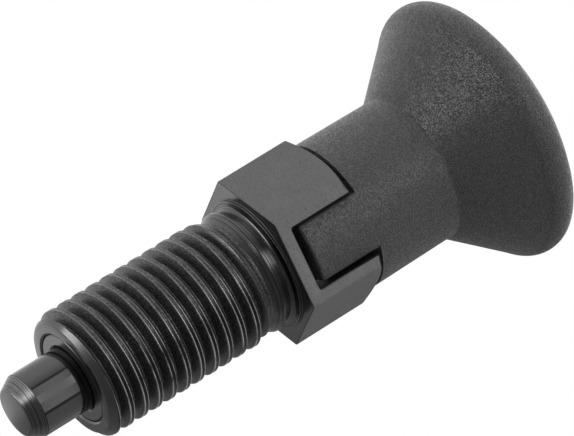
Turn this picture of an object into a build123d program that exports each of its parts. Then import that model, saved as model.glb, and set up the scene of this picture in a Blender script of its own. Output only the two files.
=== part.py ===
"""Lockable indexing plunger: threaded sleeve, guide bush, indexing pin, spring and mushroom grip.

Millimetres. +Z runs along the axis from the pin's nose to the grip. The origin is the centre of
the round seat that lands on the machine wall, so the barrel and the pin point down, along -Z.
The cross slot runs along Y, so the grip's two lugs show on the -Y and +Y sides.
"""

import os
from math import asin, cos, degrees, radians, sin, sqrt, tan

from build123d import *

# Threaded barrel, below the hexagon
thread_diameter = 12.0  # M12 x 1.5, drawn as a plain cylinder at the major diameter
barrel_length = 20.0  # from the hexagon's front face to the barrel's mouth
mouth_diameter = 10.6  # flat land round the mouth, inside the lead-in chamfer
runout_start = 3.0  # the full thread ends this far below the seat
valley_depth = 2.15  # bottom of the run-out, below the seat
valley_diameter = 10.8
ring_top = 1.45  # the ring above the run-out reaches full diameter here
ring_diameter = 11.6
undercut_top = 1.15  # the undercut starts here and runs up to the seat
undercut_diameter = 10.8
undercut_fillet = 0.4  # at most, where the seat's width allows it

# Seat and hexagon
seat_height = 0.25  # the seat stands this far proud of the hexagon
seat_diameter = 12.5
across_flats = 14.0
hex_height = 8.0
hex_corner_radius = 0.25
rear_face_diameter = 13.8
rear_chamfer_angle = 30.0  # from the rear face
slot_width = 6.0
slot_corner_radius = 0.3

# Bores of the sleeve
bush_bore_diameter = 8.6
chamber_diameter = 7.4
rear_wall = 3.0  # between the spring chamber and the slot's floor
edge_break = 0.15

# Guide bush
bush_length = 4.9
bush_recess = 0.1  # the bush sits this far inside the mouth
bush_chamfer = 0.2

# Indexing pin
pin_diameter = 6.0
pin_reach = 6.0  # from the barrel's mouth to the crown of the nose
nose_diameter = 4.5
nose_crown = 0.12
nose_edge_radius = 0.25  # between the crown and the chamfer
nose_chamfer_angle = 30.0  # from the axis
collar_diameter = 7.2
collar_length = 1.2
spindle_diameter = 4.0
tail_depth = 11.5  # how far the spindle runs into the grip
tail_ring_count = 4
tail_ring_pitch = 1.3
tail_ring_length = 1.0  # from a ring's sharp edge back down to the spindle
tail_ring_height = 0.15
tail_lead = 0.95  # plain length past the last ring

# Spring
wire_diameter = 0.6
spring_mean_diameter = 5.7
active_turns = 5.0
closed_turns = 1.0  # at each end
coil_gap = 0.05  # between the turns of a closed end

# Grip
grip_diameter = 25.0
skirt_diameter = 14.0
crease_diameter = 13.8  # where the skirt meets the cone
skirt_length = 8.65
cone_angle = 40.0  # from the axis
crease_fillet = 0.4
rim_radius = 1.75
dome_radius = 22.2
lug_width = 5.3
lug_round = 0.3
lug_bore_diameter = 6.4

# Travel
stroke = 6.2  # the full pull, which draws the nose inside the barrel's mouth
lug_lift = 0.25  # a full pull leaves the lugs this far clear of the hexagon, free to turn

# Clearances and interferences, on the radius or on each side
running_clearance = 0.03  # pin in the bush, spindle in the rear wall
press_interference = 0.01  # bush in the barrel
hex_gap = 0.3  # between the hexagon's rear face and the skirt
lug_end_gap = 0.8  # between the slot's floor and the lugs

# The slot is as deep as the lugs need, and the other heights follow from the sizes above
slot_depth = stroke - lug_lift + lug_end_gap
hex_front = seat_height
hex_rear = hex_front + hex_height
slot_floor = hex_rear - slot_depth
mouth = hex_front - barrel_length
shoulder = slot_floor - rear_wall
bush_front = mouth + bush_recess
bush_rear = bush_front + bush_length
collar_rear = bush_rear + collar_length
nose_tip = mouth - pin_reach
skirt_front = hex_rear + hex_gap
lug_end = slot_floor + lug_end_gap
tail_end = skirt_front + tail_depth


def turned(points):
    """The solid swept by a closed (r, z) outline turned about the axis."""
    outline = Polyline(*points, close=True)
    return revolve(make_face(Plane.XZ * outline), Axis.Z)


def hexagon_bar():
    """The hexagon, with softened corner edges and the round chamfer at its rear."""
    section = Plane.XY.offset(hex_front) * RegularPolygon(
        across_flats / 2, 6, major_radius=False
    )
    bar = extrude(section, hex_height)
    bar = fillet(bar.edges().filter_by(Axis.Z), hex_corner_radius)
    outside = across_flats  # any radius beyond the corners
    rear_radius = rear_face_diameter / 2
    drop = (outside - rear_radius) * tan(radians(rear_chamfer_angle))
    envelope = turned([
        (0, hex_front),
        (outside, hex_front),
        (outside, hex_rear - drop),
        (rear_radius, hex_rear),
        (0, hex_rear),
    ])
    return bar & envelope


def barrel():
    """The turned shank: lead-in, thread at its major diameter, run-out, ring, undercut, seat."""
    mouth_radius = mouth_diameter / 2
    thread_radius = thread_diameter / 2
    valley_radius = valley_diameter / 2
    ring_radius = ring_diameter / 2
    undercut_radius = undercut_diameter / 2
    seat_radius = seat_diameter / 2
    corner = min(undercut_fillet, (seat_radius - undercut_radius) / 2)
    shank = turned([
        (0, mouth),
        (mouth_radius, mouth),
        (thread_radius, mouth + thread_radius - mouth_radius),
        (thread_radius, -runout_start),
        (valley_radius, -valley_depth),
        (ring_radius, -ring_top),
        (ring_radius, -undercut_top),
        (undercut_radius, -undercut_top),
        (undercut_radius, 0),
        (seat_radius, 0),
        (seat_radius, hex_front),
        (0, hex_front),
    ])
    rings = shank.edges().filter_by(GeomType.CIRCLE)
    at_seat = rings.filter_by_position(Axis.Z, -seat_height / 2, seat_height / 2)
    return fillet(at_seat.sort_by(SortBy.LENGTH)[0], corner)


def cross_slot():
    """The cutter for the slot across the hexagon, open at the rear, with rounded floor corners."""
    cutter = Box(
        slot_width, 2 * across_flats, 2 * slot_depth,
        align=(Align.CENTER, Align.CENTER, Align.MIN),
    )
    floor_edges = cutter.edges().filter_by(Axis.Y).group_by(Axis.Z)[0]
    return Pos(0, 0, slot_floor) * fillet(floor_edges, slot_corner_radius)


def threaded_sleeve():
    """The body that screws into the machine: barrel, seat, slotted hexagon and stepped bore."""
    bush_radius = bush_bore_diameter / 2
    chamber_radius = chamber_diameter / 2
    guide_radius = spindle_diameter / 2 + running_clearance
    bore = turned([
        (0, mouth - edge_break),
        (bush_radius + 2 * edge_break, mouth - edge_break),
        (bush_radius, mouth + edge_break),
        (bush_radius, bush_rear),
        (chamber_radius, bush_rear),
        (chamber_radius, shoulder),
        (guide_radius, shoulder),
        (guide_radius, slot_floor - edge_break),
        (guide_radius + 2 * edge_break, slot_floor + edge_break),
        (0, slot_floor + edge_break),
    ])
    return barrel() + hexagon_bar() - cross_slot() - bore


def guide_bush():
    """The pressed-in bush, chamfered inside and out at its front."""
    outer = bush_bore_diameter / 2 + press_interference
    inner = pin_diameter / 2 + running_clearance
    return turned([
        (inner, bush_front + bush_chamfer),
        (inner + bush_chamfer, bush_front),
        (outer - bush_chamfer, bush_front),
        (outer, bush_front + bush_chamfer),
        (outer, bush_rear),
        (inner, bush_rear),
    ])


def rounded(profile, r, z, radius):
    """An upright profile with its corner at (r, z) rounded."""
    corner = profile.vertices().sort_by_distance((r, 0, z))[0]
    return fillet(corner, radius)


def nose_outline():
    """The (r, z) outline of the nose from its crown to the ground diameter."""
    nose_radius = nose_diameter / 2
    pin_radius = pin_diameter / 2
    chamfer = (pin_radius - nose_radius) / tan(radians(nose_chamfer_angle))
    edge = nose_tip + nose_crown
    return (0, nose_tip), (nose_radius, edge), (pin_radius, edge + chamfer)


def tail_rings():
    """Saw-tooth rings along the tail, (r, z) points from the front of the tail to its end."""
    spindle_radius = spindle_diameter / 2
    start = tail_end - tail_lead - tail_ring_length - (tail_ring_count - 1) * tail_ring_pitch
    points = []
    for ring in range(tail_ring_count):
        foot = start + ring * tail_ring_pitch
        points += [
            (spindle_radius, foot),
            (spindle_radius + tail_ring_height, foot),
            (spindle_radius, foot + tail_ring_length),
        ]
    return points


def indexing_pin():
    """Nose, stop collar, spindle and ringed tail, turned from one bar."""
    crown, nose_edge, ground = nose_outline()
    pin_radius = pin_diameter / 2
    collar_radius = collar_diameter / 2
    spindle_radius = spindle_diameter / 2
    half_nose = nose_edge[0] / 2
    bulge = nose_crown * (1 - (half_nose / nose_edge[0]) ** 2)
    edges = [
        ThreePointArc(crown, (half_nose, nose_edge[1] - bulge), nose_edge),
        Polyline(
            nose_edge,
            ground,
            (pin_radius, bush_rear),
            (collar_radius - edge_break, bush_rear),
            (collar_radius, bush_rear + edge_break),
            (collar_radius, collar_rear),
            (spindle_radius, collar_rear),
            *tail_rings(),
            (spindle_radius, tail_end - edge_break),
            (spindle_radius - edge_break, tail_end),
            (0, tail_end),
            crown,
        ),
    ]
    profile = rounded(make_face(Plane.XZ * Curve(edges)), *nose_edge, nose_edge_radius)
    return revolve(profile, Axis.Z)


def compression_spring():
    """Round wire in a closed-end coil, its two end faces ground flat."""
    radius = spring_mean_diameter / 2
    low = collar_rear + wire_diameter / 4
    high = shoulder - wire_diameter / 4
    closed_pitch = wire_diameter + coil_gap
    closed = closed_turns * closed_pitch
    pitch = (high - low - 2 * closed) / active_turns
    turn = 360 * closed_turns
    first = Helix(closed_pitch, closed, radius)
    middle = Pos(0, 0, closed) * Rot(0, 0, turn) * Helix(pitch, pitch * active_turns, radius)
    turn += 360 * active_turns
    last = Pos(0, 0, high - low - closed) * Rot(0, 0, turn) * Helix(closed_pitch, closed, radius)
    path = Pos(0, 0, low) * Wire([first, middle, last])
    section = Plane(path @ 0, z_dir=path % 0) * Circle(wire_diameter / 2)
    coil = sweep(section, path=path, is_frenet=True)
    ground = Pos(0, 0, (collar_rear + shoulder) / 2) * Cylinder(
        chamber_diameter / 2, shoulder - collar_rear
    )
    return coil & ground


def grip_form():
    """The turned outside of the grip: skirt, cone, rolled rim and dome."""
    skirt_radius = skirt_diameter / 2
    crease_r = crease_diameter / 2
    crease_z = skirt_front + skirt_length
    slope = radians(cone_angle)
    rim_r = grip_diameter / 2 - rim_radius
    rim_z = crease_z + ((rim_r - crease_r) * cos(slope) + rim_radius) / sin(slope)
    dome_z = rim_z - sqrt((dome_radius - rim_radius) ** 2 - rim_r**2)
    lean = degrees(asin((rim_z - dome_z) / (dome_radius - rim_radius)))
    rim = CenterArc((rim_r, rim_z), rim_radius, cone_angle - 90, 90 - cone_angle + lean)
    dome = CenterArc((0, dome_z), dome_radius, lean, 90 - lean)
    base = Polyline(
        dome @ 1, (0, skirt_front), (skirt_radius, skirt_front), (crease_r, crease_z), rim @ 0
    )
    profile = make_face(Plane.XZ * (rim + dome + base))
    return revolve(rounded(profile, crease_r, crease_z, crease_fillet), Axis.Z)


def lugs():
    """Two opposite lugs that drop into the cross slot, cut from a ring as wide as the skirt."""
    height = skirt_front - lug_end
    upright = (Align.CENTER, Align.CENTER, Align.MIN)
    disc = Cylinder(skirt_diameter / 2, height, align=upright)
    bar = Box(lug_width, 2 * skirt_diameter, height, align=upright)
    tongue = disc & bar
    sides = tongue.edges().filter_by(Axis.Z)
    end = tongue.edges().group_by(Axis.Z)[0]
    tongue = fillet(sides + end, lug_round)
    hole = Cylinder(lug_bore_diameter / 2, height, align=upright)
    return Pos(0, 0, lug_end) * (tongue - hole)


def mushroom_grip(pin):
    """The moulded grip, its blind hole closed on the ringed tail of the pin."""
    return grip_form() + lugs() - pin


os.makedirs("parts", exist_ok=True)
pin = indexing_pin()
pieces = {
    "threaded_sleeve": threaded_sleeve(),
    "guide_bush": guide_bush(),
    "indexing_pin": pin,
    "compression_spring": compression_spring(),
    "mushroom_grip": mushroom_grip(pin),
}
for name, piece in pieces.items():
    export_step(piece, f"parts/{name}.step")
    print(name, round(piece.volume, 1), piece.bounding_box())
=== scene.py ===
"""Lockable indexing plunger, dressed for the camera: rolled thread, blackened steel, moulded grip."""

from math import atan2, ceil, cos, floor, hypot, pi, radians, sin, sqrt, tan

import bmesh
import bpy
from mathutils import Matrix, Vector


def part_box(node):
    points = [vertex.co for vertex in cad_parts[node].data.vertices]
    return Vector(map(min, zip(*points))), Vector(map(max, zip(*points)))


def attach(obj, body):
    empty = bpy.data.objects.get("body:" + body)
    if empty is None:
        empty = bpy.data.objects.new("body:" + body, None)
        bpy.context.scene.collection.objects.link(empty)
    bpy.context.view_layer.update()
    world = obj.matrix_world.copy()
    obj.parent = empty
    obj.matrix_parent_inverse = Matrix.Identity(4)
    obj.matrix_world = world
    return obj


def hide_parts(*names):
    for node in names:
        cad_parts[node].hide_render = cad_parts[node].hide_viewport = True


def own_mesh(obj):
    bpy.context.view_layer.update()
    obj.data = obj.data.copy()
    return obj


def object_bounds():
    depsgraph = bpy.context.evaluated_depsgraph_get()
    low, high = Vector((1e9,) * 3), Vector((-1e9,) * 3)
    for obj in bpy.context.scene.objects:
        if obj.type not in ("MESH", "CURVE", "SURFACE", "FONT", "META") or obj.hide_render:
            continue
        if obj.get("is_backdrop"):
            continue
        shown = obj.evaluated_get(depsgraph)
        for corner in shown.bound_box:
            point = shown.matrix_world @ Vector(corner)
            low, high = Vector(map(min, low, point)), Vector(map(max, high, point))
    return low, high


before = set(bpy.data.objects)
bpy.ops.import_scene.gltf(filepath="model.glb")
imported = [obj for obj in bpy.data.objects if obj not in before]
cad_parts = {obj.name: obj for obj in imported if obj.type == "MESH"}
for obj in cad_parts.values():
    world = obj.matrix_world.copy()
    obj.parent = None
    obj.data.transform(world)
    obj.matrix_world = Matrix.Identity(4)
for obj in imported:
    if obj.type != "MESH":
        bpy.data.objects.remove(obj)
cad_low, cad_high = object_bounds()
scene = bpy.context.scene

# Camera: a long lens from in front of the nose, a little to the left of the slotted flat, and
# turned about its own axis so that the plunger lies across the picture from corner to corner.
MM = 0.001
VIEW_AZIMUTH = radians(-15.35)
VIEW_ELEVATION = radians(-22.95)
VIEW_ROLL = radians(58.34)
VIEW_DISTANCE = 435.8 * MM
VIEW_TARGET = Vector((-2.391, -1.150, 4.115)) * MM
LENS_MM = 317.75

lens = bpy.data.cameras.new("long_lens")
lens.lens = LENS_MM
lens.clip_start = 50 * MM
camera = bpy.data.objects.new("camera", lens)
scene.collection.objects.link(camera)
aim = (
    Matrix.Rotation(VIEW_AZIMUTH, 4, "Z")
    @ Matrix.Rotation(pi / 2 - VIEW_ELEVATION, 4, "X")
    @ Matrix.Rotation(VIEW_ROLL, 4, "Z")
)
camera.matrix_world = Matrix.Translation(VIEW_TARGET + aim.col[2].xyz * VIEW_DISTANCE) @ aim
scene.camera = camera

# Threaded sleeve: one bar of free-cutting steel drawn to a 14 mm hexagon. The barrel is turned and
# its M12 x 1.5 thread rolled, the slot is milled across, and all of it is blackened in hot salts.
# Sizes here are in millimetres.
PITCH = 1.5
CREST_RADIUS = 5.975
ROOT_RADIUS = 5.1
FLANK_RADIUS = 5.64  # where ridge and groove are equally wide
FLANK_ANGLE = radians(30)
PROFILE_BLEND = 0.08
LIP_OFFSET = 0.2  # rolling pushes up two lips on each crest, this far from its middle
SEAM_DEPTH = 0.08  # of the hollow between the lips
LIP_WIDTH = 0.055  # of its painted highlight, to each side
HOLLOW_POWER = 4  # the higher, the flatter the hollow's floor
HIGHLIGHT_POWER = 3  # the higher, the sooner the painted lip highlight fades where the thread runs out
CREST_HEIGHT = -17.5  # of one crest on the +X side
ROW_OFFSETS = (0, 0.08, 0.13, 0.17, 0.2, 0.23, 0.27, 0.32, 0.42, 0.54, 0.63, 0.70)  # from a crest
FULL_THREAD_TOP = -3.7  # from here up the thread runs out
THREAD_TOP = -2.15
VALLEY_RADIUS = 5.4  # of the neck between the thread and the seat
RING_RADIUS = 5.8
RING_LOW = -1.45
RING_HIGH = -1.15
RING_EDGE = 0.03
RING_FOOT = 0.05
UNDERCUT_FILLET = 0.4
SEAT_RADIUS = 6.25
SEAT_HEIGHT = 0.25
SEAT_EDGE = 0.04
CORNER_RADIUS = 0.25
REAR_FACE_RADIUS = 6.9
REAR_CHAMFER = radians(30)
EDGE_RADIUS = 0.06
GUIDE_RADIUS = 2.03  # of the bore that guides the pin's spindle
CHAMBER_RADIUS = 3.7  # of the bore that holds the spring
BUSH_BORE_RADIUS = 4.3
EDGE_BREAK = 0.15
SHOULDER = -1.5
BUSH_REAR = -14.75
MOUTH_RADIUS = 5.3
MOUTH_EDGE = 0.03
SLOT_HALF_WIDTH = 3.0
SLOT_FLOOR = 1.5
SLOT_CORNER = 0.3
SLOT_EDGE = 0.1
CORNER_STEPS = 6
CUTTER_REACH = 2.0  # how far the cutter flares beyond the steel
SUPPORT = 0.04  # a row of points this close to a rounded edge keeps the face beside it flat
SUPPORT_PARTS = 6  # and it is no further away than a side's length in so many parts
COLUMN_STEP = 2  # degrees
CORNER_COLUMNS = (0.3, 0.6, 0.893)  # degrees from a hexagon corner
SMOOTH_BELOW = radians(35)
SAME_PLACE = 1e-5

sleeve_low, sleeve_high = (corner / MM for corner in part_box("threaded_sleeve"))
mouth = sleeve_low.z
hexagon_rear = sleeve_high.z
flat_radius = sleeve_high.y
thread_start = mouth + MOUTH_EDGE
ROLLED, TURNED, FACED, DRAWN, MILLED = range(5)


def softened(corners, steps=3):
    """The (r, z, finish) points of an outline of (r, z, radius, finish) corners, each one rounded."""
    points = []
    for index, (r, z, radius, finish) in enumerate(corners):
        if not radius:
            points.append((r, z, finish))
            continue
        here = Vector((r, z))
        back = Vector(corners[index - 1][:2]) - here
        ahead = Vector(corners[index + 1][:2]) - here
        turn = pi - back.angle(ahead)
        reach = radius * tan(turn / 2)
        start = here + back.normalized() * reach
        end = here + ahead.normalized() * reach
        middle = here + (back.normalized() + ahead.normalized()).normalized() * radius / cos(turn / 2)
        before = start + back.normalized() * min(SUPPORT, back.length / SUPPORT_PARTS)
        after = end + ahead.normalized() * min(SUPPORT, ahead.length / SUPPORT_PARTS)
        first = start - middle
        sweep = atan2(first.cross(end - middle), first.dot(end - middle))
        points.append((*before, finish))
        for step in range(steps + 1):
            points.append((*(middle + Matrix.Rotation(sweep * step / steps, 2) @ first), finish))
        points.append((*after, finish))
    return points


def hexagon_radius(angle):
    """From the axis to the hexagon's side at an angle in degrees; its corners are at 0, 60, ..."""
    away = radians(abs((angle + 30) % 60 - 30))
    centre = (flat_radius - CORNER_RADIUS) / cos(pi / 6)
    if away < radians(CORNER_COLUMNS[-1]):
        return centre * cos(away) + sqrt(CORNER_RADIUS**2 - (centre * sin(away)) ** 2)
    return flat_radius / cos(pi / 6 - away)


def sleeve_outline(angle):
    """The outline at one angle, from the thread's end over the hexagon and back by the bores."""
    side = hexagon_radius(angle)
    chamfer_foot = hexagon_rear - (side - REAR_FACE_RADIUS) * tan(REAR_CHAMFER)
    return softened([
        (VALLEY_RADIUS, THREAD_TOP, 0, TURNED),
        (RING_RADIUS, RING_LOW, RING_EDGE, TURNED),
        (RING_RADIUS, RING_HIGH, RING_EDGE, TURNED),
        (VALLEY_RADIUS, RING_HIGH, RING_FOOT, TURNED),
        (VALLEY_RADIUS, 0, UNDERCUT_FILLET, TURNED),
        (SEAT_RADIUS, 0, SEAT_EDGE, FACED),
        (SEAT_RADIUS, SEAT_HEIGHT, SEAT_EDGE, FACED),
        (side, SEAT_HEIGHT, EDGE_RADIUS, DRAWN),
        (side, chamfer_foot, EDGE_RADIUS, FACED),
        (REAR_FACE_RADIUS, hexagon_rear, EDGE_RADIUS, FACED),
        (GUIDE_RADIUS + 2 * EDGE_BREAK, hexagon_rear, 0, FACED),
        (GUIDE_RADIUS + 2 * EDGE_BREAK, SLOT_FLOOR + EDGE_BREAK, 0, FACED),
        (GUIDE_RADIUS, SLOT_FLOOR - EDGE_BREAK, 0, FACED),
        (GUIDE_RADIUS, SHOULDER, 0, FACED),
        (CHAMBER_RADIUS, SHOULDER, 0, FACED),
        (CHAMBER_RADIUS, BUSH_REAR, 0, FACED),
        (BUSH_BORE_RADIUS, BUSH_REAR, 0, FACED),
        (BUSH_BORE_RADIUS, mouth + EDGE_BREAK, 0, FACED),
        (BUSH_BORE_RADIUS + EDGE_BREAK, mouth, 0, FACED),
        (MOUTH_RADIUS - MOUTH_EDGE, mouth, 0, FACED),
    ])


def soft_minimum(a, b, blend):
    """The lesser of a and b, rounded over where they differ by less than blend."""
    overlap = max(blend - abs(a - b), 0)
    return min(a, b) - overlap**2 / blend / 4


def lead_in_radius(height):
    """The radius of the 45 degree lead-in, which cuts the thread off towards the mouth."""
    return MOUTH_RADIUS + height - mouth


def thread_point(angle, height):
    """The thread's radius at an angle in degrees and a height, and its lip's share of painted
    highlight there.
    """
    turns = (height - CREST_HEIGHT) / PITCH - angle / 360
    away = abs(turns - round(turns)) * PITCH
    flank = FLANK_RADIUS + (PITCH / 4 - away) / tan(FLANK_ANGLE)
    hollow = max(0, 1 - (away / LIP_OFFSET) ** HOLLOW_POWER)
    crest = CREST_RADIUS - SEAM_DEPTH * hollow
    radius = soft_minimum(crest, flank, PROFILE_BLEND)
    radius = -soft_minimum(-radius, -ROOT_RADIUS, PROFILE_BLEND)
    full = min(1, (THREAD_TOP - height) / (THREAD_TOP - FULL_THREAD_TOP))
    radius = VALLEY_RADIUS + full * (radius - VALLEY_RADIUS)
    painted_highlight = max(0, 1 - abs(away - LIP_OFFSET) / LIP_WIDTH) * full**HIGHLIGHT_POWER
    lead_in = lead_in_radius(height)
    return (lead_in, 0) if lead_in < radius else (radius, painted_highlight)


def mark_sharp_edges(shape):
    """Shades the mesh smooth, except across edges that turn more sharply than SMOOTH_BELOW."""
    for face in shape.faces:
        face.smooth = True
    for edge in shape.edges:
        edge.smooth = edge.is_manifold and edge.calc_face_angle(pi) < SMOOTH_BELOW


def mesh_object(name, shape):
    """A new object in the scene from a bmesh in millimetres, which is freed."""
    bmesh.ops.scale(shape, vec=(MM, MM, MM), verts=shape.verts)
    bmesh.ops.recalc_face_normals(shape, faces=shape.faces)
    mark_sharp_edges(shape)
    mesh = bpy.data.meshes.new(name)
    shape.to_mesh(mesh)
    shape.free()
    made = bpy.data.objects.new(name, mesh)
    scene.collection.objects.link(made)
    return made


columns = set(range(0, 360, COLUMN_STEP))
for corner_angle in range(0, 360, 60):
    for offset in CORNER_COLUMNS:
        columns |= {(corner_angle + offset) % 360, (corner_angle - offset) % 360}
columns = sorted(columns)

solid = bmesh.new()
# Each vertex's share of painted highlight on the thread's lips.
lip_highlight = solid.verts.layers.float.new("lip_highlight")


def sleeve_vertex(angle, r, z, painted_highlight=0.0):
    """A vertex of the sleeve in cylindrical coordinates."""
    vertex = solid.verts.new((r * cos(radians(angle)), r * sin(radians(angle)), z))
    vertex[lip_highlight] = painted_highlight
    return vertex


def skin(lower, upper, finish):
    """A band of faces between two loops that have a vertex in each column and one more to close."""
    for column in range(len(columns)):
        corners = lower[column], lower[column + 1], upper[column + 1], upper[column]
        solid.faces.new(corners).material_index = finish


outlines = [sleeve_outline(angle) for angle in columns]
loops = []
for level in zip(*outlines):
    loop = [sleeve_vertex(angle, r, z) for angle, (r, z, _) in zip(columns, level)]
    loops.append(loop + loop[:1])
for level, lower, upper in zip(zip(*outlines), loops, loops[1:]):
    skin(lower, upper, level[0][2])

# The thread's rows climb with its helix, so a row closes on the row one pitch further up.
offsets = sorted({*ROW_OFFSETS, PITCH / 2, *(PITCH - offset for offset in ROW_OFFSETS[1:])})
lowest = floor((thread_start - CREST_HEIGHT) / PITCH) - 1
highest = ceil((THREAD_TOP - CREST_HEIGHT) / PITCH)
levels = [
    CREST_HEIGHT + PITCH * turn + offset for turn in range(lowest, highest + 1) for offset in offsets
]
rows = []
for level in levels:
    row = []
    for angle in columns:
        height = min(max(level + PITCH * angle / 360, thread_start), THREAD_TOP)
        radius, painted_highlight = thread_point(angle, height)
        row.append(sleeve_vertex(angle, radius, height, painted_highlight))
    rows.append(row)
for row, next_turn in zip(rows, rows[len(offsets):]):
    row.append(next_turn[0])
rows = [row for row in rows if len(row) > len(columns)]
for lower, upper in zip(rows, rows[1:]):
    skin(lower, upper, ROLLED)
for face in solid.faces:
    if all(abs(hypot(*v.co.xy) - lead_in_radius(v.co.z)) < SAME_PLACE for v in face.verts):
        face.material_index = FACED
skin(loops[-1], rows[0][:-1] + rows[0][:1], FACED)
skin(rows[-1][:-1] + rows[-1][:1], loops[0], TURNED)
bmesh.ops.remove_doubles(solid, verts=solid.verts, dist=SAME_PLACE)
sleeve = mesh_object("sleeve_blackened", solid)


def slot_section(widening, y):
    """The slot's section at y, open to the rear, widened all round."""
    half = SLOT_HALF_WIDTH + widening
    low = SLOT_FLOOR - widening
    flare = hexagon_rear - SLOT_EDGE
    side = [(half + CUTTER_REACH, flare + CUTTER_REACH), (half, flare)]
    for step in range(CORNER_STEPS + 1):
        lean = pi / 2 * step / CORNER_STEPS
        side.append((half - SLOT_CORNER * (1 - cos(lean)), low + SLOT_CORNER * (1 - sin(lean))))
    mirrored = [(-x, z) for x, z in reversed(side)]
    return [(x, y, z) for x, z in side + mirrored]


solid = bmesh.new()
flat_edge = flat_radius - SLOT_EDGE
sections = [
    [solid.verts.new(point) for point in slot_section(widening, y)]
    for widening, y in (
        (CUTTER_REACH, -flat_edge - CUTTER_REACH),
        (0, -flat_edge),
        (0, flat_edge),
        (CUTTER_REACH, flat_edge + CUTTER_REACH),
    )
]
for near, far in zip(sections, sections[1:]):
    for index, vertex in enumerate(near):
        solid.faces.new((near[index - 1], vertex, far[index], far[index - 1]))
solid.faces.new(sections[0])
solid.faces.new(sections[-1])
for face in solid.faces:
    face.material_index = MILLED
cutter = mesh_object("slot_cutter", solid)

# The cutter takes the slot out of the sleeve, and the faces that it leaves keep its finish.
cut = sleeve.modifiers.new("slot", "BOOLEAN")
cut.operation = "DIFFERENCE"
cut.solver = "EXACT"
cut.object = cutter


def linear(hex_colour):
    """An sRGB hex colour as linear RGBA."""
    channels = [int(hex_colour[i:i + 2], 16) / 255 for i in (0, 2, 4)]
    return [c / 12.92 if c <= 0.04045 else ((c + 0.055) / 1.055) ** 2.4 for c in channels] + [1]


def add_node(tree, kind, settings=None, **links):
    """A new node, its settings made and its inputs given a value or linked to an output socket."""
    node = tree.nodes.new(kind)
    for key, value in (settings or {}).items():
        setattr(node, key, value)
    for key, value in links.items():
        socket = node.inputs[int(key[1:])] if key[1:].isdigit() else node.inputs[key.replace("_", " ")]
        if isinstance(value, bpy.types.NodeSocket):
            tree.links.new(value, socket)
        else:
            socket.default_value = value
    return node


def material(name):
    """A new material, its node tree, its shader and a socket with the place on the piece in mm."""
    made = bpy.data.materials.new(name)
    made.use_nodes = True
    tree = made.node_tree
    place = add_node(tree, "ShaderNodeTexCoord").outputs["Object"]
    place = add_node(tree, "ShaderNodeVectorMath", {"operation": "SCALE"}, _0=place, Scale=1 / MM)
    return made, tree, tree.nodes["Principled BSDF"], place.outputs["Vector"]


# Black oxide on steel: a hard film about a micrometre thick that takes the colour of the steel
# down to a dark neutral grey and leaves it a metal, so each way of machining still shows in it.
COLOUR = {"data_type": "RGBA"}  # makes a mix node mix colours
PRODUCT = {"operation": "MULTIPLY"}
CLOUD = 1.5  # mm across a lighter or darker patch of the film
CLOUD_DETAIL = 4.0
TOOL_DETAIL = 2.0  # of the marks that a tool or a die leaves


def mottling(tree, place, size, detail, low=0.0, high=1.0):
    """Patches of a size in mm, from 0 where their noise is at the low level to 1 at the high one."""
    pattern = add_node(tree, "ShaderNodeTexNoise", Vector=place, Scale=1 / size, Detail=detail)
    levels = add_node(tree, "ShaderNodeMapRange", Value=pattern.outputs["Fac"], _1=low, _2=high)
    return levels.outputs["Result"]


def oxide_film(tree, place, dark, light):
    """The colour of the film, clouded between two greys."""
    clouds = mottling(tree, place, CLOUD, CLOUD_DETAIL)
    film = add_node(tree, "ShaderNodeMix", COLOUR, _0=clouds, _6=linear(dark), _7=linear(light))
    return film.outputs[2]


def mark_surface(tree, shader, marks, plain, marked, depth=0.0):
    """Turns the plain colour to another where there are marks, which stand a depth in mm proud."""
    colour = add_node(tree, "ShaderNodeMix", COLOUR, _0=marks, _6=plain, _7=linear(marked))
    tree.links.new(colour.outputs[2], shader.inputs["Base Color"])
    if depth:
        bump = add_node(tree, "ShaderNodeBump", Height=marks, Distance=depth * MM)
        tree.links.new(bump.outputs["Normal"], shader.inputs["Normal"])


def from_axis(tree, place):
    """The distance from the plunger's axis in mm."""
    across = add_node(tree, "ShaderNodeVectorMath", PRODUCT, _0=place, _1=(1, 1, 0))
    reach = add_node(tree, "ShaderNodeVectorMath", {"operation": "LENGTH"}, _0=across.outputs[0])
    return reach.outputs["Value"]


# Rolled thread: the dies leave the flanks finely mottled, and the crests' tops are lighter than the
# hollow between their lips. On one side a painted shade darkens that hollow and the tops of the
# flanks, and the lips carry near-white streaks of painted highlight. Shares of the way to that side
# run from -1, opposite it, to 1.
MOTTLE = 0.11  # mm, drawn coarse enough to show
MOTTLE_DETAIL = 3.0
MOTTLE_LEVELS = (0.4, 0.65)
MOTTLE_DEPTH = 0.006
HOLLOW_RADIUS = CREST_RADIUS - SEAM_DEPTH
SHADE_DEPTH = 0.05  # mm below the hollow between the lips, over which the painted shade thins out
SHADED_SIDE = (-0.2, 0.35)  # the shares where the painted shade starts and where it is full
HIGHLIGHT_SIDE = (-0.6, 0.2)  # the same for the painted highlight
# The side, as an angle round the axis, that gets the painted shade and highlights.
PAINTED_LIGHT_SIDE = radians(-15)
HIGHLIGHT_STREAK = 2.0  # mm along a lip, the length of a streak of painted highlight
STREAK_DETAIL = 4.0
STREAK_LEVELS = (0.3, 0.5)
rolled_oxide, tree, shader, place = material("steel_rolled_black_oxide")
shader.inputs["Metallic"].default_value = 0.75
shader.inputs["Roughness"].default_value = 0.3
mottle = mottling(tree, place, MOTTLE, MOTTLE_DETAIL, *MOTTLE_LEVELS)
to_side = add_node(
    tree, "ShaderNodeVectorMath", {"operation": "DOT_PRODUCT"},
    _0=place, _1=(cos(PAINTED_LIGHT_SIDE) / CREST_RADIUS, sin(PAINTED_LIGHT_SIDE) / CREST_RADIUS, 0),
).outputs["Value"]
radius = from_axis(tree, place)
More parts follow.
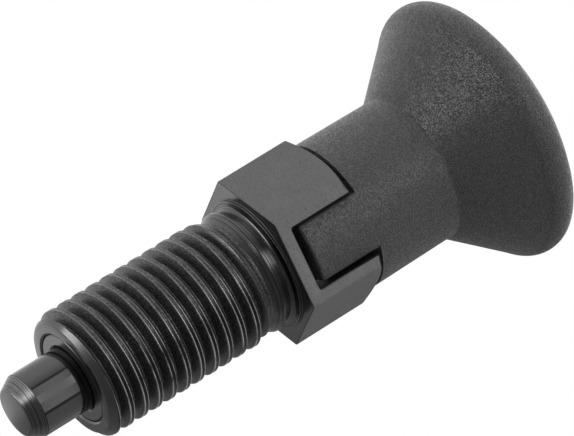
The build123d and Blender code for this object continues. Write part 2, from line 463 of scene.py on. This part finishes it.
# Painted shade: on the painted side the hollow between the lips and the flank tops below it go near
# black.
shaded_side = add_node(
    tree, "ShaderNodeMapRange", Value=to_side, _1=SHADED_SIDE[0], _2=SHADED_SIDE[1]
)
shade_height = add_node(
    tree, "ShaderNodeMapRange", Value=radius, _1=HOLLOW_RADIUS - SHADE_DEPTH, _2=HOLLOW_RADIUS
)
painted_shade = add_node(
    tree, "ShaderNodeMath", PRODUCT, _0=shade_height.outputs[0], _1=shaded_side.outputs[0]
)
flank = add_node(
    tree, "ShaderNodeMix", COLOUR, _0=mottle, _6=linear("353535"), _7=linear("6E6E6E")
)
# Flank mottle, turned near black where the painted shade falls.
groove = add_node(
    tree, "ShaderNodeMix", COLOUR,
    _0=painted_shade.outputs[0], _6=flank.outputs[2], _7=linear("1E1E1E"),
)
crest = add_node(
    tree, "ShaderNodeMix", COLOUR, _0=mottle, _6=linear("4C4C4C"), _7=linear("969696")
)
on_crest = add_node(
    tree, "ShaderNodeMapRange", Value=radius, _1=HOLLOW_RADIUS, _2=CREST_RADIUS
)
oxide_and_painted_shade = add_node(
    tree, "ShaderNodeMix", COLOUR,
    _0=on_crest.outputs[0], _6=groove.outputs[2], _7=crest.outputs[2],
)
# The painted highlight fades out towards the side opposite the painted side, and breaks into streaks.
highlight_side = add_node(tree, "ShaderNodeMapRange", Value=to_side, _1=HIGHLIGHT_SIDE[0], _2=HIGHLIGHT_SIDE[1])
streaks = add_node(
    tree, "ShaderNodeMath", PRODUCT,
    _0=mottling(tree, place, HIGHLIGHT_STREAK, STREAK_DETAIL, *STREAK_LEVELS), _1=highlight_side.outputs[0],
)
lip = add_node(tree, "ShaderNodeAttribute", {"attribute_name": "lip_highlight"})
painted_highlight = add_node(tree, "ShaderNodeMath", PRODUCT, _0=lip.outputs["Fac"], _1=streaks.outputs[0])
# Painted highlight: the lips go near white in streaks, standing for a lamp's reflection in their
# rounded tops.
mark_surface(tree, shader, painted_highlight.outputs[0], oxide_and_painted_shade.outputs[2], "F4F4F4")
bump = add_node(tree, "ShaderNodeBump", Height=mottle, Distance=MOTTLE_DEPTH * MM)
tree.links.new(bump.outputs["Normal"], shader.inputs["Normal"])

# Tool rings: the tip's feed in mm, drawn coarse enough to show, and the levels of a ring's depth.
FEED = 0.13
RING_LEVELS = (0.42, 0.58)


def tool_rings(tree, place):
    """Rings of random depth round the axis, a feed apart, on faces and barrels alike."""
    height = add_node(tree, "ShaderNodeSeparateXYZ", Vector=place).outputs["Z"]
    path = add_node(
        tree, "ShaderNodeMath", {"operation": "ADD"}, _0=from_axis(tree, place), _1=height
    )
    on_path = add_node(tree, "ShaderNodeCombineXYZ", X=path.outputs[0])
    return mottling(tree, on_path.outputs[0], FEED, TOOL_DETAIL, *RING_LEVELS)


# Turned steel: bright where the tool burnished a ring, and darker where it tore.
turned_oxide, tree, shader, place = material("steel_turned_black_oxide")
shader.inputs["Metallic"].default_value = 1.0
shader.inputs["Roughness"].default_value = 0.26
film = oxide_film(tree, place, "2B2B2B", "393939")
mark_surface(tree, shader, tool_rings(tree, place), film, "6A6A6A", depth=0.002)

# Faced steel, at the mouth and round the hexagon, is cut finer, so its rings hardly show.
faced_oxide, tree, shader, place = material("steel_faced_black_oxide")
shader.inputs["Metallic"].default_value = 0.8
shader.inputs["Roughness"].default_value = 0.24
film = oxide_film(tree, place, "525252", "5E5E5E")
mark_surface(tree, shader, tool_rings(tree, place), film, "646464")

# Cold-drawn flats: matt, so the film scatters more than it mirrors, with small dark pores.
GRIT = 0.12  # mm across a pore, drawn coarse enough to show
PORE_LEVELS = (0.5, 0.9)
drawn_oxide, tree, shader, place = material("steel_drawn_black_oxide")
shader.inputs["Metallic"].default_value = 0.1
shader.inputs["Roughness"].default_value = 0.6
film = oxide_film(tree, place, "5F5F5F", "6C6C6C")
pores = mottling(tree, place, GRIT, TOOL_DETAIL, *PORE_LEVELS)
mark_surface(tree, shader, pores, film, "2C2C2C", depth=-0.01)

# Milled slot: the side of the cutter leaves faint upright waves along the walls.
CUTTER_WAVE = 0.2  # mm, the feed of one tooth, drawn coarse enough to show
milled_oxide, tree, shader, place = material("steel_milled_black_oxide")
shader.inputs["Metallic"].default_value = 1.0
shader.inputs["Roughness"].default_value = 0.35
along = add_node(tree, "ShaderNodeVectorMath", PRODUCT, _0=place, _1=(0, 1, 0))
waves = mottling(tree, along.outputs[0], CUTTER_WAVE, TOOL_DETAIL)
mark_surface(tree, shader, waves, linear("505050"), "6A6A6A", depth=0.01)

for piece in (sleeve, cutter):
    for finish in (rolled_oxide, turned_oxide, faced_oxide, drawn_oxide, milled_oxide):
        piece.data.materials.append(finish)
cut_sleeve = sleeve.evaluated_get(bpy.context.evaluated_depsgraph_get())
cut_mesh = bpy.data.meshes.new_from_object(cut_sleeve)
sleeve.modifiers.clear()
sleeve.data = cut_mesh
bpy.data.objects.remove(cutter)
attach(sleeve, "sleeve")
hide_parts("threaded_sleeve")

# Guide bush: a ring of the same steel, turned, faced and blackened. It is pressed into the mouth of
# the barrel, where it carries the pin and shuts the spring in.
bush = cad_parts["guide_bush"]
bush.data.materials.clear()
bush.data.materials.append(faced_oxide)

# Compression spring: round music wire, coiled cold and left bright, a turn at each end closed
# and ground flat. It stands on the pin's collar, and a pull shortens it against the sleeve.
WIRE_RADIUS = 0.3
COIL_RADIUS = 2.85
ACTIVE_TURNS = 5
CLOSED_PITCH = 0.65
TURN_STEPS = 48
WIRE_STEPS = 14
collar_top, spring_top = (corner.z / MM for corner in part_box("compression_spring"))
coil_low = collar_top + WIRE_RADIUS / 2
coil_high = spring_top - WIRE_RADIUS / 2
active_pitch = (coil_high - coil_low - 2 * CLOSED_PITCH) / ACTIVE_TURNS

solid = bmesh.new()
sections = []
for step in range((ACTIVE_TURNS + 2) * TURN_STEPS + 1):
    turns = step / TURN_STEPS
    active = min(max(turns - 1, 0), ACTIVE_TURNS)
    height = coil_low + active * active_pitch + (turns - active) * CLOSED_PITCH
    outward = Matrix.Rotation(2 * pi * turns, 3, "Z") @ Vector((1, 0, 0))
    section = []
    for side in range(WIRE_STEPS):
        lean = 2 * pi * side / WIRE_STEPS
        point = outward * (COIL_RADIUS + WIRE_RADIUS * cos(lean))
        point.z = min(max(height + WIRE_RADIUS * sin(lean), collar_top), spring_top)
        section.append(solid.verts.new(point))
    sections.append(section)
for near, far in zip(sections, sections[1:]):
    for side in range(WIRE_STEPS):
        solid.faces.new((near[side - 1], near[side], far[side], far[side - 1]))
solid.faces.new(sections[0])
solid.faces.new(sections[-1])
coil = mesh_object("spring_coiled_wire", solid)

# Bright drawn wire: a clear metal shine, a little uneven where the die has scratched it.
DRAW_MARK = 0.1  # mm across a scratch, drawn coarse enough to show
drawn_wire, tree, shader, place = material("spring_wire_drawn_bright")
shader.inputs["Metallic"].default_value = 1.0
shader.inputs["Roughness"].default_value = 0.3
marks = mottling(tree, place, DRAW_MARK, TOOL_DETAIL)
mark_surface(tree, shader, marks, linear("A5A4A1"), "C6C5C2")
coil.data.materials.append(drawn_wire)
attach(coil, "spring")
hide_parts("compression_spring")
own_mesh(coil)

# Indexing pin: hardened steel, its nose turned and the rest ground to 6 mm, then blackened. The
# ground part is the smoothest steel here and mirrors the cards that stand beside it. The grip is
# moulded round the rings of its tail.
NOSE_END = -24.33
NOSE_FACE_RADIUS = 2.2
GROUND_EDGE = 0.01  # mm, half the width over which the finish changes
FACE_EDGE = 0.05
TURNED_ROUGHNESS = 0.26
GROUND_ROUGHNESS = 0.08
pin_oxide, tree, shader, place = material("steel_ground_black_oxide")
shader.inputs["Metallic"].default_value = 1.0
height = add_node(tree, "ShaderNodeSeparateXYZ", Vector=place).outputs["Z"]
ground = add_node(
    tree, "ShaderNodeMapRange", Value=height, _1=NOSE_END - GROUND_EDGE, _2=NOSE_END + GROUND_EDGE
)
on_chamfer = add_node(
    tree, "ShaderNodeMapRange", Value=from_axis(tree, place),
    _1=NOSE_FACE_RADIUS - FACE_EDGE, _2=NOSE_FACE_RADIUS + FACE_EDGE,
)
grooves = add_node(
    tree, "ShaderNodeMix", COLOUR,
    _0=tool_rings(tree, place), _6=linear("434343"), _7=linear("7E7E7E"),
)
nose = add_node(
    tree, "ShaderNodeMix", COLOUR,
    _0=on_chamfer.outputs[0], _6=linear("575757"), _7=grooves.outputs[2],
)
mark_surface(tree, shader, ground.outputs[0], nose.outputs[2], "5B5B5B")
roughness = add_node(
    tree, "ShaderNodeMapRange", Value=ground.outputs[0], _3=TURNED_ROUGHNESS, _4=GROUND_ROUGHNESS
)
tree.links.new(roughness.outputs[0], shader.inputs["Roughness"])
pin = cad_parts["indexing_pin"]
pin.data.materials.clear()
pin.data.materials.append(pin_oxide)

# Grip: one moulding in glass-filled black polyamide, its outside spark-eroded to a fine grain. It
# is matt, and the tops of some grains shine more than the rest and glitter where a lamp reflects.
# Those grains are also painted a lighter grey and the rest darker, a painted shading of the grain's
# relief.
GRAIN = 0.08  # mm, drawn coarse enough to show
SHINY_GRAINS = (0.55, 0.75)  # a grain's draw, up to 1: matt and painted darker below the first, all shine and painted lighter above
SWELL = 0.11  # mm across the swells between the grains
SWELL_DETAIL = 1.0
SWELL_LEVELS = (0.35, 0.65)
SWELL_DEPTH = 0.12
polyamide, tree, shader, place = material("polyamide_moulded_eroded")
shader.inputs["Roughness"].default_value = 0.42
shader.inputs["Coat Roughness"].default_value = 0.38
cells = add_node(tree, "ShaderNodeTexVoronoi", Vector=place, Scale=1 / GRAIN)
grain = add_node(tree, "ShaderNodeSeparateColor", Color=cells.outputs["Color"])
glint_and_painted_relief = add_node(
    tree, "ShaderNodeMapRange", Value=grain.outputs["Red"],
    _1=SHINY_GRAINS[0], _2=SHINY_GRAINS[1],
)
# Painted shade and highlight of the relief: the shiny grains are painted lighter than the rest.
mark_surface(tree, shader, glint_and_painted_relief.outputs[0], linear("484848"), "565656")
tree.links.new(glint_and_painted_relief.outputs[0], shader.inputs["Coat Weight"])
swells = mottling(tree, place, SWELL, SWELL_DETAIL, *SWELL_LEVELS)
bump = add_node(tree, "ShaderNodeBump", Height=swells, Distance=SWELL_DEPTH * MM)
tree.links.new(bump.outputs["Normal"], shader.inputs["Normal"])
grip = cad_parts["mushroom_grip"]
grip.data.materials.clear()
grip.data.materials.append(polyamide)

# Floor: a sheet of matt pale paper a little under the nose, which glows white further out, so that
# it has no edge. Only the camera sees it, and only from above: one below it looks up through it.
FLOOR_DROP = 4  # below the nose, in mm
FLOOR_HALF = 3000
FADE_START = 60  # mm from the axis, and all of it glows from the end of the fade
FADE_END = 220
FLOOR_GLOW = 0.35
floor_height = cad_low.z / MM - FLOOR_DROP
solid = bmesh.new()
solid.faces.new([
    solid.verts.new((x * FLOOR_HALF, y * FLOOR_HALF, floor_height))
    for x, y in ((-1, -1), (1, -1), (1, 1), (-1, 1))
])
sheet = mesh_object("studio_floor", solid)
if sheet.data.polygons[0].normal.z < 0:
    sheet.data.flip_normals()

paper, tree, shader, place = material("floor_paper_matt_white")
matt = add_node(tree, "ShaderNodeBsdfDiffuse", Color=linear("E6E6E4"))
glow = add_node(tree, "ShaderNodeEmission", Strength=FLOOR_GLOW)
lit = add_node(tree, "ShaderNodeAddShader", _0=matt.outputs[0], _1=glow.outputs[0])
white = add_node(tree, "ShaderNodeEmission", Strength=1.0)
outwards = add_node(
    tree, "ShaderNodeMapRange", Value=from_axis(tree, place), _1=FADE_START, _2=FADE_END
)
seamless = add_node(
    tree, "ShaderNodeMixShader", Fac=outwards.outputs[0], _1=lit.outputs[0], _2=white.outputs[0]
)
clear = add_node(tree, "ShaderNodeBsdfTransparent")
below = add_node(tree, "ShaderNodeNewGeometry").outputs["Backfacing"]
one_sided = add_node(
    tree, "ShaderNodeMixShader", Fac=below, _1=seamless.outputs[0], _2=clear.outputs[0]
)
tree.links.new(one_sided.outputs[0], tree.nodes["Material Output"].inputs["Surface"])
sheet.data.materials.append(paper)
sheet.visible_diffuse = False
sheet.visible_glossy = False
sheet.visible_transmission = False
sheet.visible_shadow = False
sheet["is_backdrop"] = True

# Lamps: soft white boxes, their places and sizes in metres. The strip, the key and the fill light
# only what is matt, and the gloss and side boxes are what the steel and the shiny grains mirror.
STRIP_TILT = radians(54)
STRIP_AWAY = 0.4


def from_camera(right, up, toward):
    """A direction given along the camera's axes."""
    return aim.to_3x3() @ Vector((right, up, toward))


def softbox(name, away, length, width, radiance):
    """A soft light that faces the target, its length lying as near the plunger's axis as it can."""
    lamp = bpy.data.lights.new(name, "AREA")
    lamp.shape = "RECTANGLE"
    lamp.size = width
    lamp.size_y = length
    lamp.energy = radiance * pi * length * width
    made = bpy.data.objects.new(name, lamp)
    scene.collection.objects.link(made)
    across = Vector((0, 0, 1)).cross(away).normalized()
    axes = Matrix((across, away.normalized().cross(across), away.normalized())).transposed()
    made.matrix_world = Matrix.Translation(VIEW_TARGET + away) @ axes.to_4x4()
    return made


near_side = Vector((*from_camera(0, 0, 1).xy, 0)).normalized()
strip_way = near_side * cos(STRIP_TILT) - Vector((0, 0, sin(STRIP_TILT)))
for name, away, length, width, radiance in (
    ("strip_softbox", STRIP_AWAY * strip_way, 0.31, 0.13, 0.4),
    ("key_softbox", from_camera(0.40, 0.10, 0.24), 0.4, 0.4, 3.0),
    ("fill_softbox", from_camera(0.36, -0.29, -0.12), 0.3, 0.3, 1.3),
):
    softbox(name, away, length, width, radiance).visible_glossy = False
for name, away, length, width, radiance in (
    ("gloss_softbox", from_camera(-0.313, 0.058, 0.22), 0.13, 0.42, 4.2),
    ("side_softbox", from_camera(0.28, 0.15, 0.31), 0.26, 0.2, 1.9),
):
    softbox(name, away, length, width, radiance).visible_diffuse = False

# Cards: a white and a grey strip of paper round the pin that only show as plain tones in it, with
# a narrow dark one beside the white, and one large dark sheet at the back for the rest of the steel.
CARD_STEPS = 12
STRIP_LOW = -5.2
STRIP_HIGH = -0.5


def card(name, radius, start, end, low, high, radiance):
    """A card curved round the axis, between two angles in degrees from the near side, counted
    towards the plunger's upper left, and two heights in mm."""
    shape = bmesh.new()
    for step in range(CARD_STEPS + 1):
        angle = -radians(start + (end - start) * step / CARD_STEPS)
        foot = Matrix.Rotation(angle, 3, "Z") @ near_side * radius
        for height in (low, high):
            shape.verts.new((foot.x, foot.y, height))
    shape.verts.ensure_lookup_table()
    for step in range(CARD_STEPS):
        shape.faces.new([shape.verts[2 * step + corner] for corner in (0, 1, 3, 2)])
    made = mesh_object(name, shape)
    paper, tree, _, _ = material(name + "_paper")
    glow = add_node(tree, "ShaderNodeEmission", Strength=radiance)
    tree.links.new(glow.outputs[0], tree.nodes["Material Output"].inputs["Surface"])
    made.data.materials.append(paper)
    made.visible_camera = False
    made.visible_diffuse = False
    made.visible_shadow = False
    made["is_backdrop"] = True


for name, radius, start, end, low, high, radiance in (
    ("white_card", 58, -48, 34.6, STRIP_LOW, STRIP_HIGH, 0.95),
    ("grey_card", 58, -141, -58.4, STRIP_LOW, STRIP_HIGH, 0.5),
    ("seam_card", 58, 35.9, 43.2, STRIP_LOW, STRIP_HIGH, 0.2),
    ("dark_card", 60, -179, -112, -90, 60, 0.3),
):
    card(name, radius, start, end, low, high, radiance)

# Studio: a white room that the polished steel mirrors, bright at the camera's left and dark at its
# right. What is matt gets its light from above, and the camera sees the room as plain white.
BRIGHT_LEVEL = 1.0
DARK_LEVEL = 0.18
DARK_WAY = from_camera(0.35, -0.45, 0.82)
ROOM_TURN = 0.6  # how far from square to the dark way the room is all bright or all dark
CEILING_WAY = from_camera(0.3, 0.9, -0.3)
CEILING_START = -0.75  # how far towards the ceiling the first of its light comes from
CEILING_LEVEL = 1.05
world = bpy.data.worlds.new("studio")
scene.world = world
world.use_nodes = True
tree = world.node_tree
direction = add_node(tree, "ShaderNodeTexCoord").outputs["Generated"]
to_dark = add_node(
    tree, "ShaderNodeVectorMath", {"operation": "DOT_PRODUCT"}, _0=direction, _1=DARK_WAY
)
mirrored = add_node(
    tree, "ShaderNodeMapRange", {"interpolation_type": "SMOOTHSTEP"},
    Value=to_dark.outputs["Value"], _1=-ROOM_TURN, _2=ROOM_TURN, _3=BRIGHT_LEVEL, _4=DARK_LEVEL,
)
to_ceiling = add_node(
    tree, "ShaderNodeVectorMath", {"operation": "DOT_PRODUCT"}, _0=direction, _1=CEILING_WAY
)
scattered = add_node(
    tree, "ShaderNodeMapRange",
    Value=to_ceiling.outputs["Value"], _1=CEILING_START, _3=0.0, _4=CEILING_LEVEL,
)
rays = add_node(tree, "ShaderNodeLightPath")
strength = add_node(
    tree, "ShaderNodeMix", {"data_type": "FLOAT"},
    _0=rays.outputs["Is Glossy Ray"], _2=scattered.outputs[0], _3=mirrored.outputs[0],
)
for seen_by in ("Is Camera Ray", "Is Transmission Ray"):
    strength = add_node(
        tree, "ShaderNodeMath", {"operation": "MAXIMUM"},
        _0=strength.outputs[0], _1=rays.outputs[seen_by],
    )
tree.links.new(strength.outputs[0], tree.nodes["Background"].inputs["Strength"])
tree.nodes["Background"].inputs["Color"].default_value = (1, 1, 1, 1)

scene.view_settings.view_transform = "Standard"
low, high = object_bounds()
